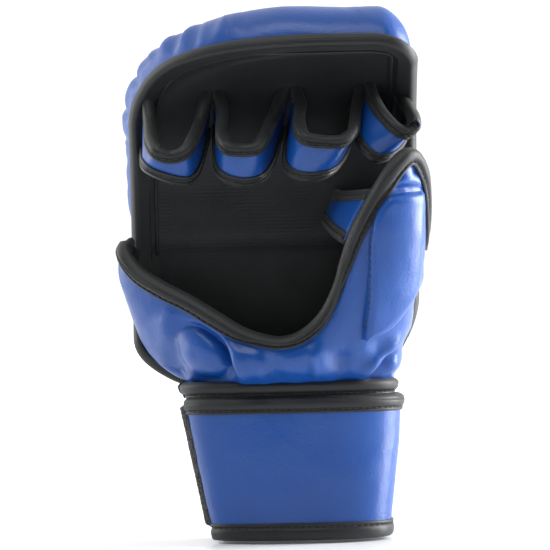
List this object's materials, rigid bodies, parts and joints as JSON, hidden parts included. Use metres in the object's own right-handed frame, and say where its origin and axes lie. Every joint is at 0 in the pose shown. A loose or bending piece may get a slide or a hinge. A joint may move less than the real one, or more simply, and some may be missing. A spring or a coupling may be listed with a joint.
{
  "type": "mma sparring glove",
  "caption": "Open-palm leather sparring glove with a curved knuckle pad, finger loops, padded thumb and a wide wrist strap whose tab closes with hook-and-loop.",
  "frame": {"origin": "middle of the footprint, level with the cuff's mouth", "axes": "+Z from the cuff towards the fingertips, -Y towards the palm side, +X towards the thumb"},
  "size_m": [0.1482, 0.1092, 0.2478],
  "materials": {
    "leather": "satin pebbled synthetic leather, blue",
    "binding": "matt black edge binding",
    "lining": "smooth black lining cloth",
    "foam": "closed-cell foam padding",
    "fastener": "hook-and-loop tape"
  },
  "bodies": {
    "hand": {"back_foam": "foam", "back_lining": "lining", "back_little_side_binding": "binding", "back_shell": "leather", "back_thumb_side_binding": "binding", "cuff_lining": "lining", "cuff_shell": "leather", "cuff_top_binding": "binding", "heel_lining": "lining", "heel_shell": "leather", "loop_tape": "fastener", "palm_rim_binding": "binding", "strap_anchor": "leather", "thumb_strip": "leather", "thumb_strip_foot_binding": "binding", "thumb_strip_lining": "lining", "thumb_strip_top_binding": "binding"},
    "fingers": {"finger_pad_binding": "binding", "finger_pad_foam": "foam", "finger_pad_lining": "lining", "finger_pad_shell": "leather", "index_loop_foot_binding": "binding", "index_loop_lining": "lining", "index_loop_shell": "leather", "index_loop_top_binding": "binding", "little_loop_foot_binding": "binding", "little_loop_lining": "lining", "little_loop_shell": "leather", "little_loop_top_binding": "binding", "middle_loop_foot_binding": "binding", "middle_loop_lining": "lining", "middle_loop_shell": "leather", "middle_loop_top_binding": "binding", "ring_loop_foot_binding": "binding", "ring_loop_lining": "lining", "ring_loop_shell": "leather", "ring_loop_top_binding": "binding"},
    "thumb": {"thumb_lining": "lining", "thumb_pad": "leather", "thumb_pad_foam": "foam", "thumb_rim_binding": "binding", "thumb_shell": "leather"},
    "strap": {"strap_foot_binding": "binding", "strap_lining": "lining", "strap_shell": "leather", "strap_top_binding": "binding"},
    "tab": {"hook_tape": "fastener", "tab_end_binding": "binding", "tab_foot_binding": "binding", "tab_lining": "lining", "tab_shell": "leather", "tab_top_binding": "binding"}
  },
  "joints": [
    {"name": "finger_flex", "type": "hinge", "parent": "hand", "child": "fingers", "pos_m": [0.00418, 0.02468, 0.15], "axis": [1, 0, 0], "range_deg": [-15, 12]},
    {"name": "thumb_spread", "type": "hinge", "parent": "hand", "child": "thumb", "pos_m": [0.04218, -0.03132, 0.097], "axis": [0.7413, 0.6712, 0], "range_deg": [0, 20]},
    {"name": "strap_swing", "type": "hinge", "parent": "hand", "child": "strap", "pos_m": [-0.03719, 0.00267, 0], "axis": [0.2034, 0.006, -0.9791], "range_deg": [0, 20]},
    {"name": "tab_peel", "type": "hinge", "parent": "strap", "child": "tab", "pos_m": [0.05085, 0.00458, 0], "axis": [-0.1112, -0.0002, -0.9938], "range_deg": [0, 150]}
  ],
  "couplings": [
    {"joint": "strap_swing", "follows": "tab_peel", "ratio": 0.13}
  ]
}
